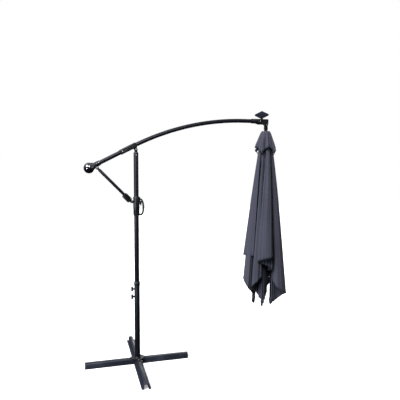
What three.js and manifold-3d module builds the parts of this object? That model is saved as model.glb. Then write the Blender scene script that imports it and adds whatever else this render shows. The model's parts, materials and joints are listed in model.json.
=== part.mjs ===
// Cantilever parasol: a cross base, a two-part mast, a curved arm on a hinge at the mast head,
// a strut with a cord winder between the arm's rear end and a sliding handle, and a square
// canopy that hangs closed from the arm's tip. A solar panel stands on the tip.
// Millimetres, +Z up, the mast's axis on Z, the floor at z = 0, the arm along +X.
import * as THREE from "three";
import { mergeVertices } from "three/addons/utils/BufferGeometryUtils.js";
import Module from "manifold-3d";

const wasm = await Module();
wasm.setup();

// ---------------------------------------------------------------- driving dimensions

const GAP = 0.3; // clearance between pieces that touch
const ROUND = 16; // sides of a large round piece
const SMALL_ROUND = 10; // sides of a small round piece
const MERGE_DISTANCE = 1e-4;
const FAR = 4000; // larger than the object, for half-space cuts
const THROUGH = 60; // length of a bore that passes right through a small piece

const BAR = { length: 1000, height: 45, ridge: 44, flange: 20, sheet: 2.5 };
const FLANGE_CORNER = 82; // from the mast's axis to a corner of the foot flange
const FLANGE_PLATE = 4;
const BOLT_CIRCLE = 66;
const BOLT = { shank: 4, head: 7, headHeight: 6 };
const WELD = { leg: 6, height: 7 };

const TUBE_WALL = 1.5;
const LOWER_MAST = { radius: 26, top: 758 };
const UPPER_MAST = { radius: 22.5, bottom: 560, top: 2004 };
const COLLAR = { radius: 29, height: 38, skirt: 55 };
const THUMB_SCREW_HEIGHTS = { upper: 725, lower: 651 };
const THUMB_SCREW = { shank: 4, hub: 10, wing: 9, wingReach: 14, thick: 18, stand: 12 };
const SCREW_BOSS = { radius: 9, length: 10 };
const RIVET = { shank: 3, head: 5.5 };

const HINGE_HEIGHT = 2035;
const ARM_SLOPE = THREE.MathUtils.degToRad(26.5);
const ARM_OFFSET = 41; // from the hinge's axis to the arm's centre line
const ARM_RADIUS = 19;
const ARM_BEND = 2400;
const ARM_REAR = -377; // along the arm from above the hinge
const ARM_END_X = 1180;
const ARM_BORE = ARM_RADIUS + GAP + 0.2; // of the sockets on the arm, clear of its bend
const HINGE_PIN = { shank: 5, head: 8, grip: 36 };
const BRACKET = { rear: -140, front: 20, half: 24, lugFrom: 11.5, lugTo: 17.5 };
const BRACKET_BOLT_AT = -118;

const BULB = { at: -456, radius: 49, wall: 3.5 };
const NECK = { from: -398, to: -350, radius: 24 };
const REAR_PULLEY = { radius: 30, groove: 5, width: 12 };
const REAR_PIVOT = { x: -390, z: 8, lugFrom: 9, lugTo: 15 }; // in the arm's own frame
const REAR_PIN_SLOT = 10; // radius of the slot that takes up the linkage's play

const SLIDER = { bottom: 1426, top: 1604, radius: 29.5 };
const STRUT_FOOT = { x: -46, z: 1556 };
const LOCK_BOX = { near: 12, far: 35, bottom: 1532, top: 1600, width: 26 };
const SHOE = { bottom: 1540, top: 1570, half: 7, far: 30 };
const TRIGGER_PIVOT = { x: 43, z: 1552, pin: 2.5 };
const GRIP_LINE = [[26, 1582], [46, 1576], [60, 1548], [66, 1500], [62, 1462], [50, 1438], [26, 1434]];
const STRUT_RADIUS = 14;
const STRUT_PIN = 4;
const FOOT_WIDTH = { tongue: 13, half: 12 };
const CASE = { left: -28, right: 24, bottom: 16, top: 94, half: 24, wall: 3 };
const WINDER = { x: -2, z: 44 }; // the spool's axis in the strut's frame
const CRANK = { shaft: 5, reach: 50, stub: 3.5, thick: 6, knob: 20 };

const TIP = { rise: 21, belly: 31, width: 34, slotHalf: 8.8, axle: 2.5 };
const CANOPY_X = 1296;
const CANOPY_TURN = THREE.MathUtils.degToRad(18); // of the first short rib, from the arm
const HANGER_PIN = { z: 2288, shank: 4 };
const CANOPY_PIN = { z: 2246, shank: 3 };
const HANGER = { width: 16.8, half: 15, forkFrom: 9, forkTo: 15 };
const HUB = { top: 2226, cap: 42, lip: 4, radius: 30, bottom: 2190 };
const RIB_ROOT = { radius: 38, z: 2205 };
const CANOPY_HALF_SIDE = 1215;
const LONG_RIB_TIP = 85; // from the canopy's axis
const SHORT_RIB_TIP = 135;
const RIB = { width: 10, depth: 15, wall: 0.6 };
const POLE = { radius: 14, bottom: 1190 };
const RUNNER = { bottom: 1196, rim: 1222, top: 1236, neck: 20, radius: 30 };
const CLOTH_WALL = 1.6;
const CLOTH_REACH = 216; // the widest radius of the closed folds
const CLOTH_SWELL = { from: 50, slope: 0.144 }; // the folds' radius against their drop
const CLOTH_COLUMNS = 48;
const CLOTH_THROAT = 35; // the cloth's radius under the hub's cap
const RIB_COVER = 11.5; // from a rib's centre line to the cloth over it
const VENT_HALF_SIDE = 157;
const VENT_TOP = -17; // below the rib ring
const VENT_REACH = { throat: 46, corner: 111, middle: 99, drop: 150 };

const PANEL = { pivotX: 1250, pivotZ: 2372, side: 98, thick: 12, lift: 16, rim: 4, glass: 1.6, stem: 5 };
const PANEL_PIN = { radius: 2.5, length: 20, lug: 11.4 };
const PANEL_AZIMUTH = THREE.MathUtils.degToRad(-118); // the way the panel faces
const PANEL_TILT = THREE.MathUtils.degToRad(36.5);

// ---------------------------------------------------------------- materials

function finish(colour, roughness, metalness) {
  return new THREE.MeshStandardMaterial({ color: colour, roughness, metalness });
}

const PAINTED = finish(0x15161a, 0.45, 0.4);
const BASE_PAINT = finish(0x2a2d36, 0.5, 0.4);
const PLASTIC = finish(0x0e0e10, 0.5, 0);
const GLOSS = finish(0x0b0b0d, 0.15, 0);
const STEEL = finish(0xb9bcc2, 0.35, 1);
const CLOTH = finish(0x53566a, 0.9, 0);
const CELLS = finish(0x07080f, 0.1, 0);
const RUBBER = finish(0x101010, 0.9, 0);

// ---------------------------------------------------------------- solids from geometry

/** Vertices and triangles of a geometry, with shared vertices merged. */
function bareMesh(geometry) {
  const bare = new THREE.BufferGeometry();
  const flat = geometry.index ? geometry.toNonIndexed() : geometry;
  bare.setAttribute("position", flat.getAttribute("position"));
  const merged = mergeVertices(bare, MERGE_DISTANCE);
  const corners = merged.index.array;
  const triangles = [];
  for (let i = 0; i < corners.length; i += 3) {
    const [a, b, c] = corners.slice(i, i + 3);
    if (a !== b && b !== c && c !== a) triangles.push([a, b, c]);
  }
  return { vertices: merged.attributes.position.array, triangles };
}

function manifoldOf({ vertices, triangles }) {
  const triVerts = Uint32Array.from(triangles.flat());
  return new wasm.Manifold(new wasm.Mesh({ numProp: 3, vertProperties: vertices, triVerts }));
}

/** A closed geometry as a solid whose faces point out. */
function solid(geometry) {
  const mesh = bareMesh(geometry);
  const made = manifoldOf(mesh);
  if (made.volume() > 0) return made;
  const turned = mesh.triangles.map(([a, b, c]) => [a, c, b]);
  return manifoldOf({ vertices: mesh.vertices, triangles: turned });
}

function geometryOf(made) {
  const mesh = made.getMesh();
  const geometry = new THREE.BufferGeometry();
  geometry.setAttribute("position", new THREE.BufferAttribute(mesh.vertProperties, 3));
  geometry.setIndex(new THREE.BufferAttribute(mesh.triVerts, 1));
  geometry.computeVertexNormals();
  return geometry;
}

function join(...geometries) {
  return geometryOf(geometries.map(solid).reduce((all, next) => all.add(next)));
}

function cut(geometry, ...tools) {
  return geometryOf(tools.map(solid).reduce((left, tool) => left.subtract(tool), solid(geometry)));
}

// ---------------------------------------------------------------- plain forms

const X = new THREE.Vector3(1, 0, 0);
const Y = new THREE.Vector3(0, 1, 0);
const Z = new THREE.Vector3(0, 0, 1);
const PLANES = { xy: [X, Y, Z], xz: [X, Z, Y.clone().negate()], yz: [Y, Z, X] };

/** A shape drawn in a plane, given a thickness that is centred on that plane. */
function plate(shape, thickness, plane, shift = 0) {
  const options = { depth: thickness, bevelEnabled: false, curveSegments: 4 };
  const geometry = new THREE.ExtrudeGeometry(shape, options);
  geometry.translate(0, 0, shift - thickness / 2);
  return geometry.applyMatrix4(new THREE.Matrix4().makeBasis(...PLANES[plane]));
}

/** A pair of equal plates on either side of the plane, as the two cheeks of a fork. */
function cheeks(shape, inner, outer, plane) {
  const middle = (inner + outer) / 2;
  const thickness = outer - inner;
  return [plate(shape, thickness, plane, middle), plate(shape, thickness, plane, -middle)];
}

function block(low, high) {
  const size = high.map((value, i) => value - low[i]);
  const middle = high.map((value, i) => (value + low[i]) / 2);
  return new THREE.BoxGeometry(...size).translate(...middle);
}

function rod(radius, length, axis, middle = [0, 0, 0], sides = SMALL_ROUND) {
  const geometry = new THREE.CylinderGeometry(radius, radius, length, sides);
  if (axis === "z") geometry.rotateX(Math.PI / 2);
  if (axis === "x") geometry.rotateZ(Math.PI / 2);
  return geometry.translate(...middle);
}

/** A profile of [radius, height] corners turned about Z, closed on itself. */
function turned(profile, sides = ROUND) {
  const corners = [...profile, profile[0]].map(([r, z]) => new THREE.Vector2(r, z));
  return new THREE.LatheGeometry(corners, sides).rotateX(Math.PI / 2);
}

function pipe(outer, inner, bottom, top, sides = ROUND) {
  return turned([[inner, bottom], [outer, bottom], [outer, top], [inner, top]], sides);
}

/** A cord pulley on a Y axis. */
function grooved({ radius, groove, width }, bore) {
  const half = width / 2;
  const corners = [[bore, -half], [radius, -half], [radius - groove, 0], [radius, half], [bore, half]];
  return turned(corners).rotateX(Math.PI / 2);
}

/** A cross pin: a shank with a round head at each end. */
function headedPin(shank, head, grip, headHeight, axis, middle) {
  const along = { x: [1, 0, 0], y: [0, 1, 0], z: [0, 0, 1] }[axis];
  const reach = (grip + headHeight) / 2;
  const ends = [-reach, reach].map((offset) => {
    const place = middle.map((value, i) => value + along[i] * offset);
    return rod(head, headHeight, axis, place);
  });
  return join(rod(shank, grip + headHeight, axis, middle), ...ends);
}

// ---------------------------------------------------------------- outlines

/** The outline of a bar with round ends, from one centre to another. */
function roundEnded([x0, y0], [x1, y1], radius) {
  const angle = Math.atan2(y1 - y0, x1 - x0);
  const shape = new THREE.Shape();
  shape.absarc(x1, y1, radius, angle - Math.PI / 2, angle + Math.PI / 2, false);
  shape.absarc(x0, y0, radius, angle + Math.PI / 2, angle + 1.5 * Math.PI, false);
  shape.closePath();
  return shape;
}

function roundedBox(x0, y0, x1, y1, radius) {
  const quarter = Math.PI / 2;
  const shape = new THREE.Shape();
  shape.absarc(x1 - radius, y0 + radius, radius, -quarter, 0, false);
  shape.absarc(x1 - radius, y1 - radius, radius, 0, quarter, false);
  shape.absarc(x0 + radius, y1 - radius, radius, quarter, 2 * quarter, false);
  shape.absarc(x0 + radius, y0 + radius, radius, 2 * quarter, 3 * quarter, false);
  shape.closePath();
  return shape;
}

/** The folded sheet of a base bar: two low flanges that slabs rest on and a raised ridge. */
function hatOutline() {
  const foot = BAR.ridge / 2 + BAR.flange;
  const wall = BAR.ridge / 2;
  const round = 8;
  const outline = [
    [-foot, 0], [-wall + BAR.sheet, 0],
    [-wall + BAR.sheet, BAR.height - round], [-wall + round, BAR.height - BAR.sheet],
    [wall - round, BAR.height - BAR.sheet], [wall - BAR.sheet, BAR.height - round],
    [wall - BAR.sheet, 0], [foot, 0], [foot, BAR.sheet], [wall, BAR.sheet],
    [wall, BAR.height - round + 1], [wall - round + 1, BAR.height],
    [-wall + round - 1, BAR.height], [-wall, BAR.height - round + 1],
    [-wall, BAR.sheet], [-foot, BAR.sheet],
  ];
  return new THREE.Shape(outline.map(([x, y]) => new THREE.Vector2(x, y)));
}

// ---------------------------------------------------------------- scene graph

const parasol = new THREE.Group();
const strutPivot = new THREE.Vector3(); // the arm's rear pivot, in the whole object's frame

const armFrame = new THREE.Group();
armFrame.position.set(0, 0, HINGE_HEIGHT);
armFrame.rotation.y = -ARM_SLOPE;
parasol.add(armFrame);
armFrame.updateMatrixWorld(true);
strutPivot.set(REAR_PIVOT.x, 0, REAR_PIVOT.z).applyMatrix4(armFrame.matrixWorld);

const strutFrame = new THREE.Group();
const strutRise = strutPivot.z - STRUT_FOOT.z;
const strutRun = strutPivot.x - STRUT_FOOT.x;
const STRUT_LENGTH = Math.hypot(strutRise, strutRun);
strutFrame.position.set(STRUT_FOOT.x, 0, STRUT_FOOT.z);
strutFrame.rotation.y = Math.atan2(strutRun, strutRise);
parasol.add(strutFrame);

const swivelFrame = new THREE.Group();
swivelFrame.position.set(PANEL.pivotX, 0, PANEL.pivotZ);
swivelFrame.rotation.z = PANEL_AZIMUTH + Math.PI / 2;
parasol.add(swivelFrame);

const tiltFrame = new THREE.Group();
tiltFrame.rotation.x = PANEL_TILT;
swivelFrame.add(tiltFrame);

function add(name, geometry, material, parent = parasol) {
  const mesh = new THREE.Mesh(geometry, material);
  mesh.name = name;
  parent.add(mesh);
}

// ---------------------------------------------------------------- base

function boltPlaces() {
  return [0, 1, 2, 3].map((quarter) => {
    const angle = (quarter * Math.PI) / 2;
    return [BOLT_CIRCLE * Math.cos(angle), BOLT_CIRCLE * Math.sin(angle)];
  });
}

/** Bores for the foot bolts, from the floor to above the flange. */
function boltBores() {
  return boltPlaces().map(([x, y]) => rod(BOLT.shank + GAP, THROUGH, "z", [x, y, BAR.height]));
}

function buildBase() {
  const lapHeight = BAR.height / 2;
  const ridgeHalf = BAR.ridge / 2 + GAP;
  const footHalf = BAR.ridge / 2 + BAR.flange + GAP;
  const lowerNotch = block([-footHalf, -FAR, -1], [footHalf, FAR, lapHeight + GAP]);
  const upperNotch = block([-FAR, -ridgeHalf, lapHeight - GAP], [FAR, ridgeHalf, FAR]);
  const hat = hatOutline();
  const long = plate(hat, BAR.length, "yz");
  const cross = plate(hat, BAR.length, "yz").rotateZ(Math.PI / 2);
  add("base_bar_long", cut(long, lowerNotch, ...boltBores()), BASE_PAINT);
  add("base_bar_cross", cut(cross, upperNotch, ...boltBores()), BASE_PAINT);

  const blockHalf = BAR.ridge / 2 - BAR.sheet - GAP;
  const centreBlock = block([-blockHalf, -blockHalf, 0], [blockHalf, blockHalf, lapHeight - 1]);
  add("base_centre_block", centreBlock, PLASTIC);
}

function buildFoot() {
  const bottom = BAR.height + GAP;
  const top = bottom + FLANGE_PLATE;
  const side = FLANGE_CORNER * Math.SQRT1_2;
  const square = roundedBox(-side, -side, side, side, 6);
  const flange = plate(square, FLANGE_PLATE, "xy", bottom + FLANGE_PLATE / 2).rotateZ(Math.PI / 4);
  const inner = LOWER_MAST.radius + GAP;
  const weld = turned([
    [inner, top - 1], [inner + WELD.leg, top - 1], [inner + WELD.leg, top],
    [inner + 1, top + WELD.height], [inner, top + WELD.height],
  ]);
  add("foot_flange", join(cut(flange, ...boltBores()), weld), PAINTED);

  boltPlaces().forEach(([x, y], i) => {
    const nutTop = BAR.height - BAR.sheet - GAP;
    const head = rod(BOLT.head, BOLT.headHeight, "z", [x, y, top + GAP + BOLT.headHeight / 2], 6);
    const nut = rod(BOLT.head, BOLT.headHeight, "z", [x, y, nutTop - BOLT.headHeight / 2], 6);
    const length = top + BOLT.headHeight - nutTop + BOLT.headHeight;
    const shank = rod(BOLT.shank, length, "z", [x, y, nutTop - BOLT.headHeight + length / 2 - 1]);
    add(`foot_bolt_${i + 1}`, join(head, nut, shank), STEEL);
  });
}

// ---------------------------------------------------------------- mast

function buildLowerMast() {
  const bottom = BAR.height + FLANGE_PLATE + 2 * GAP;
  const { radius, top } = LOWER_MAST;
  const heights = Object.values(THUMB_SCREW_HEIGHTS);
  const bossMiddle = -radius - SCREW_BOSS.length / 2 + 1;
  const bosses = heights.map((z) => rod(SCREW_BOSS.radius, SCREW_BOSS.length, "x", [bossMiddle, 0, z]));
  const boreLength = 3 * SCREW_BOSS.length;
  const bores = heights.map((z) => rod(THUMB_SCREW.shank + GAP, boreLength, "x", [bossMiddle, 0, z]));
  const middle = (heights[0] + heights[1]) / 2;
  const channel = rod(radius - TUBE_WALL, 2 * THROUGH, "z", [0, 0, middle], ROUND);
  const tube = pipe(radius, radius - TUBE_WALL, bottom, top);
  const bossed = cut(join(tube, ...bosses), channel, ...bores);
  add("lower_mast_tube", bossed, PAINTED);

  const mastCorners = UPPER_MAST.radius / Math.cos(Math.PI / ROUND);
  const inner = mastCorners + GAP;
  const skirt = radius - TUBE_WALL - GAP;
  const rim = top + GAP;
  const high = top + COLLAR.height;
  const low = top - COLLAR.skirt / 2;
  const collar = turned([
    [inner, low], [skirt, low], [skirt, rim], [COLLAR.radius, rim],
    [COLLAR.radius, high - 6], [COLLAR.radius - 3, high], [inner, high],
  ]);
  add("mast_collar", collar, PLASTIC);
}

function buildThumbScrews() {
  const tip = -UPPER_MAST.radius - GAP;
  const { shank: radius, hub: hubRadius, wing, wingReach, thick, stand } = THUMB_SCREW;
  const knobNear = -LOWER_MAST.radius - stand;
  for (const [place, z] of Object.entries(THUMB_SCREW_HEIGHTS)) {
    const shank = rod(radius, tip - knobNear + 2, "x", [(tip + knobNear - 2) / 2, 0, z]);
    const wings = roundEnded([0, z - wingReach], [0, z + wingReach], wing);
    const knob = plate(wings, thick, "yz", knobNear - thick / 2);
    const hub = rod(hubRadius, 4, "x", [knobNear - 1, 0, z]);
    add(`thumb_screw_${place}`, join(shank, hub, knob), PLASTIC);
  }
}

function buildUpperMast() {
  const { radius, bottom, top } = UPPER_MAST;
  const plugRadius = radius - TUBE_WALL - GAP;
  const rivetZ = top - 19;
  const rivetBore = rod(RIVET.shank + GAP, THROUGH, "y", [0, 0, rivetZ]);
  add("upper_mast_tube", cut(pipe(radius, radius - TUBE_WALL, bottom, top), rivetBore), PAINTED);

  const rim = top + GAP;
  const plugBottom = top - 50;
  const plugTop = rim + 7;
  const plug = turned([
    [0, plugBottom], [plugRadius, plugBottom], [plugRadius, rim],
    [radius + 1, rim], [radius - 0.5, plugTop], [0, plugTop],
  ]);
  const tongueWidth = 2 * (BRACKET.lugFrom - 0.5);
  const tongue = plate(roundEnded([0, rim + 4], [0, HINGE_HEIGHT], 13), tongueWidth, "xz");
  const hingeBore = rod(HINGE_PIN.shank + GAP, THROUGH, "y", [0, 0, HINGE_HEIGHT]);
  add("mast_head", cut(join(plug, tongue), hingeBore, rivetBore), PLASTIC);
  const rivet = headedPin(RIVET.shank, RIVET.head, 2 * radius + 1, 2, "y", [0, 0, rivetZ]);
  add("mast_head_rivet", rivet, STEEL);
}

// ---------------------------------------------------------------- arm

/** The arm's centre line in its own frame: straight, then a steady bend, then straight again. */
class ArmLine extends THREE.Curve {
  constructor(start, end) {
    super();
    this.start = start;
    this.end = end;
  }

  getPoint(t, target = new THREE.Vector3()) {
    const s = this.start + (this.end - this.start) * t;
    const bend = THREE.MathUtils.clamp(s / ARM_BEND, 0, ARM_SLOPE);
    const run = s - bend * ARM_BEND;
    const x = ARM_BEND * Math.sin(bend) + run * Math.cos(bend);
    const z = ARM_OFFSET - ARM_BEND * (1 - Math.cos(bend)) - run * Math.sin(bend);
    return target.set(x, 0, z);
  }
}

/** Length along the arm from above the hinge to its front end. */
function armEnd() {
  const bendEndX = (ARM_BEND - ARM_OFFSET) * Math.sin(ARM_SLOPE);
  return ARM_BEND * ARM_SLOPE + ARM_END_X - bendEndX;
}

/** Height of the arm's level front part above the floor. */
function armTipHeight() {
  return HINGE_HEIGHT + ARM_OFFSET * Math.cos(ARM_SLOPE) + ARM_BEND * (1 - Math.cos(ARM_SLOPE));
}

function buildArm() {
  const ring = new THREE.Shape().absarc(0, 0, ARM_RADIUS, 0, 2 * Math.PI, false);
  ring.holes.push(new THREE.Path().absarc(0, 0, ARM_RADIUS - TUBE_WALL, 0, 2 * Math.PI, true));
  const path = new ArmLine(ARM_REAR, armEnd());
  const tube = new THREE.ExtrudeGeometry(ring, { steps: 26, extrudePath: path, curveSegments: 8 });
  const boltMiddle = [BRACKET_BOLT_AT, 0, ARM_OFFSET];
  const boltBore = rod(RIVET.shank + GAP, THROUGH, "y", boltMiddle);
  add("arm_tube", cut(tube, boltBore), PAINTED, armFrame);

  const { rear, front, half, lugFrom, lugTo } = BRACKET;
  const box = roundedBox(-half, ARM_OFFSET - half, half, ARM_OFFSET + half, 9);
  const sleeve = plate(box, front - rear, "yz", (front + rear) / 2);
  const lugs = cheeks(roundEnded([0, ARM_OFFSET - half + 6], [0, 0], 14), lugFrom, lugTo, "xz");
  const armBore = rod(ARM_BORE, 3 * (front - rear), "x", [0, 0, ARM_OFFSET], ROUND * 2);
  const hingeBore = rod(HINGE_PIN.shank + GAP, THROUGH, "y");
  const bracket = cut(join(sleeve, ...lugs), armBore, boltBore, hingeBore);
  add("arm_bracket", bracket, PLASTIC, armFrame);
  const bolt = headedPin(RIVET.shank, RIVET.head, 2 * half + 1, 3, "y", boltMiddle);
  add("bracket_bolt", bolt, STEEL, armFrame);
  const pin = headedPin(HINGE_PIN.shank, HINGE_PIN.head, HINGE_PIN.grip, 4, "y", [0, 0, 0]);
  add("arm_hinge_pin", pin, STEEL, armFrame);
}

/** The pear-shaped rear housing, hollow, turned about the arm's centre line. */
function rearHousing() {
  const outer = [];
  const inner = [];
  const steps = 7;
  const sweep = THREE.MathUtils.degToRad(125);
  for (let i = 0; i <= steps; i += 1) {
    const angle = (sweep * i) / steps;
    outer.push([BULB.radius * Math.sin(angle), BULB.at - BULB.radius * Math.cos(angle)]);
    const hollow = BULB.radius - BULB.wall;
    inner.push([hollow * Math.sin(angle), BULB.at - hollow * Math.cos(angle)]);
  }
  outer.push([NECK.radius, NECK.from], [NECK.radius, NECK.to]);
  inner.push([ARM_BORE, NECK.from - 4], [ARM_BORE, NECK.to]);
  const shell = turned([...outer, ...inner.reverse()], ROUND);
  return shell.rotateY(Math.PI / 2).translate(0, 0, ARM_OFFSET);
}

function buildRearHousing() {
  const { x, z, lugFrom, lugTo } = REAR_PIVOT;
  const lug = roundEnded([x, ARM_OFFSET - NECK.radius + 3], [x, z], 15);
  const lugs = cheeks(lug, lugFrom, lugTo, "xz");
  const pinSlot = rod(REAR_PIN_SLOT, THROUGH, "y", [x, 0, z]);
  const eyeHalf = lugFrom - 0.4;
  const eyeSlot = block([x - 22, -eyeHalf, -THROUGH], [x + 12, eyeHalf, ARM_OFFSET - 8]);
  const axleBore = rod(RIVET.shank + GAP, 3 * BULB.radius, "y", [BULB.at, 0, ARM_OFFSET]);
  const bore = rod(ARM_BORE, THROUGH, "x", [x + THROUGH / 2, 0, ARM_OFFSET], ROUND * 2);
  const whole = cut(join(rearHousing(), ...lugs), pinSlot, eyeSlot, axleBore, bore);
  const front = cut(whole, block([-FAR, -GAP / 2, -FAR], [FAR, FAR, FAR]));
  const back = cut(whole, block([-FAR, -FAR, -FAR], [FAR, GAP / 2, FAR]));
  add("rear_housing_front", front, GLOSS, armFrame);
  add("rear_housing_back", back, GLOSS, armFrame);

  const middle = [BULB.at, 0, ARM_OFFSET];
  const wheel = grooved(REAR_PULLEY, RIVET.shank + GAP);
  add("rear_pulley", wheel.translate(...middle), PLASTIC, armFrame);
  add("rear_pulley_axle", rod(RIVET.shank, 2 * BULB.radius - 8, "y", middle), STEEL, armFrame);
}

// ---------------------------------------------------------------- arm tip

const TIP_Z = armTipHeight();
const TIP_PULLEY = { x: CANOPY_X - 26, z: TIP_Z - 12, radius: 12, groove: 3, width: 10 };

function buildTipCasting() {
  const top = TIP_Z + TIP.rise;
  const belly = TIP_Z - TIP.belly;
  const rear = ARM_END_X - 5;
  const nose = CANOPY_X + 19;
  const cornerRadius = 8;
  const shape = new THREE.Shape();
  shape.moveTo(rear, TIP_Z - 22);
  shape.lineTo(rear + 21, belly);
  shape.lineTo(CANOPY_X - 34, belly);
  shape.absarc(CANOPY_X, HANGER_PIN.z, 16, Math.PI, 2 * Math.PI, false);
  shape.lineTo(nose, HANGER_PIN.z + 20);
  shape.absarc(nose - cornerRadius, top - cornerRadius, cornerRadius, 0, Math.PI / 2, false);
  shape.lineTo(rear, top);
  shape.closePath();
  const body = plate(shape, TIP.width, "xz");
  const socket = rod(23, THROUGH, "x", [ARM_END_X - 8, 0, TIP_Z], ROUND);
  const boreMiddle = ARM_END_X + GAP - THROUGH;
  const armBore = rod(ARM_BORE, 2 * THROUGH, "x", [boreMiddle, 0, TIP_Z], ROUND * 2);
  const boss = rod(11, 12, "z", [PANEL.pivotX, 0, top], ROUND);
  const slotLow = [ARM_END_X + 30, -TIP.slotHalf, CANOPY_PIN.z];
  const slot = block(slotLow, [FAR, TIP.slotHalf, TIP_Z + 4]);
  const hangerBore = rod(HANGER_PIN.shank + GAP, THROUGH, "y", [CANOPY_X, 0, HANGER_PIN.z]);
  const axleBore = rod(TIP.axle + GAP, THROUGH, "y", [TIP_PULLEY.x, 0, TIP_PULLEY.z]);
  const stemBore = rod(PANEL.stem + GAP, 20, "z", [PANEL.pivotX, 0, top + 4]);
  const cuts = [armBore, slot, hangerBore, axleBore, stemBore];
  add("tip_casting", cut(join(body, socket, boss), ...cuts), PLASTIC);

  const { x, z } = TIP_PULLEY;
  const wheel = grooved(TIP_PULLEY, TIP.axle + GAP);
  add("tip_pulley", wheel.translate(x, 0, z), PLASTIC);
  add("tip_pulley_axle", rod(TIP.axle, TIP.width - 1, "y", [x, 0, z]), STEEL);
  const pinPlace = [CANOPY_X, 0, HANGER_PIN.z];
  add("hanger_pin", headedPin(HANGER_PIN.shank, 7.5, TIP.width + 1, 4, "y", pinPlace), STEEL);
}

function buildHanger() {
  const blockTop = HANGER_PIN.z - 22;
  const blockBottom = CANOPY_PIN.z + 11;
  const { width, half, forkFrom, forkTo } = HANGER;
  const place = (geometry) => geometry.translate(CANOPY_X, 0, 0);
  const tongueShape = roundEnded([0, blockBottom + half], [0, HANGER_PIN.z], half);
  const tongue = place(plate(tongueShape, width, "xz"));
  const middle = place(block([-half - 1, -half, blockBottom], [half + 1, half, blockTop]));
  const forkShape = roundEnded([0, blockBottom], [0, CANOPY_PIN.z], 13);
  const forks = cheeks(forkShape, forkFrom, forkTo, "yz").map(place);
  const upperBore = rod(HANGER_PIN.shank + GAP, THROUGH, "y", [CANOPY_X, 0, HANGER_PIN.z]);
  const lowerBore = rod(CANOPY_PIN.shank + GAP, THROUGH, "x", [CANOPY_X, 0, CANOPY_PIN.z]);
  const clearHalf = TIP.slotHalf;
  const clearLow = [CANOPY_X - clearHalf, -THROUGH, 0];
  const clear = block(clearLow, [CANOPY_X + clearHalf, THROUGH, blockBottom - GAP]);
  add("hanger", cut(join(middle, tongue, ...forks), upperBore, lowerBore, clear), PAINTED);
  const pinPlace = [CANOPY_X, 0, CANOPY_PIN.z];
  add("canopy_pin", headedPin(CANOPY_PIN.shank, 6, 2 * forkTo + 1, 3, "x", pinPlace), STEEL);
}

// ---------------------------------------------------------------- solar panel

function buildSolarPanel() {
  const stemTop = -10;
  const stemBottom = TIP_Z + 15 + GAP - PANEL.pivotZ;
  const stem = rod(PANEL.stem, stemTop - stemBottom, "z", [0, 0, (stemTop + stemBottom) / 2]);
  const forkTo = PANEL_PIN.length / 2;
  const yoke = block([-forkTo, -7, stemTop - 4], [forkTo, 7, stemTop + 1]);
  const forks = cheeks(roundEnded([0, stemTop - 1], [0, 0], 6), 6, forkTo, "yz");
  const pin = rod(PANEL_PIN.radius, PANEL_PIN.length, "x");
  add("solar_post", join(stem, yoke, ...forks, pin), PLASTIC, swivelFrame);

  const half = PANEL.side / 2;
  const bottom = PANEL.lift - PANEL.thick / 2;
  const top = PANEL.lift + PANEL.thick / 2;
  const square = (reach, corner) => roundedBox(-reach, -reach, reach, reach, corner);
  const box = plate(square(half, 6), PANEL.thick, "xy", PANEL.lift).rotateZ(Math.PI / 4);
  const recess = plate(square(half - PANEL.rim, 3), 4, "xy", top).rotateZ(Math.PI / 4);
  const lug = plate(roundEnded([0, 0], [0, bottom], 5.4), PANEL_PIN.lug, "yz");
  const pinBore = rod(PANEL_PIN.radius + GAP, THROUGH, "x");
  add("solar_case", cut(join(box, lug), recess, pinBore), PLASTIC, tiltFrame);
  const glassShape = square(half - PANEL.rim - GAP, 2.7);
  const glass = plate(glassShape, PANEL.glass, "xy", top - PANEL.glass / 2);
  add("solar_glass", glass.rotateZ(Math.PI / 4), CELLS, tiltFrame);
}

// ---------------------------------------------------------------- strut and winder

function buildStrut() {
  const eyeBack = STRUT_LENGTH - 24;
  const tube = pipe(STRUT_RADIUS, STRUT_RADIUS - TUBE_WALL, CASE.top - 20, eyeBack);
  add("strut_tube", tube, PAINTED, strutFrame);

  const plugRadius = STRUT_RADIUS - TUBE_WALL - GAP;
  const plug = rod(plugRadius, 24, "z", [0, 0, eyeBack + GAP - 12], ROUND);
  const tongue = plate(roundEnded([0, eyeBack + 3], [0, STRUT_LENGTH], 10), 15, "xz");
  const collar = rod(10, 3, "z", [0, 0, eyeBack + 2]);
  const eye = [0, 0, STRUT_LENGTH];
  const pinBore = rod(STRUT_PIN + GAP, THROUGH, "y", eye);
  add("strut_eye", cut(join(plug, collar, tongue), pinBore), PLASTIC, strutFrame);
  const eyeGrip = 2 * REAR_PIVOT.lugTo + 1;
  const eyeHead = REAR_PIN_SLOT + 3; // covers the slot
  add("strut_eye_pin", headedPin(STRUT_PIN, eyeHead, eyeGrip, 3, "y", eye), STEEL, strutFrame);

  const footShape = roundEnded([0, 0], [0, CASE.bottom + 2], FOOT_WIDTH.half);
  const foot = plate(footShape, FOOT_WIDTH.tongue, "xz");
  const footBore = rod(STRUT_PIN + GAP, THROUGH, "y");
  const inside = block([-FAR, -FAR, CASE.bottom + CASE.wall + 6], [FAR, FAR, FAR]);
  add("strut_foot", cut(foot, footBore, inside), PLASTIC, strutFrame);
}

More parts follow.
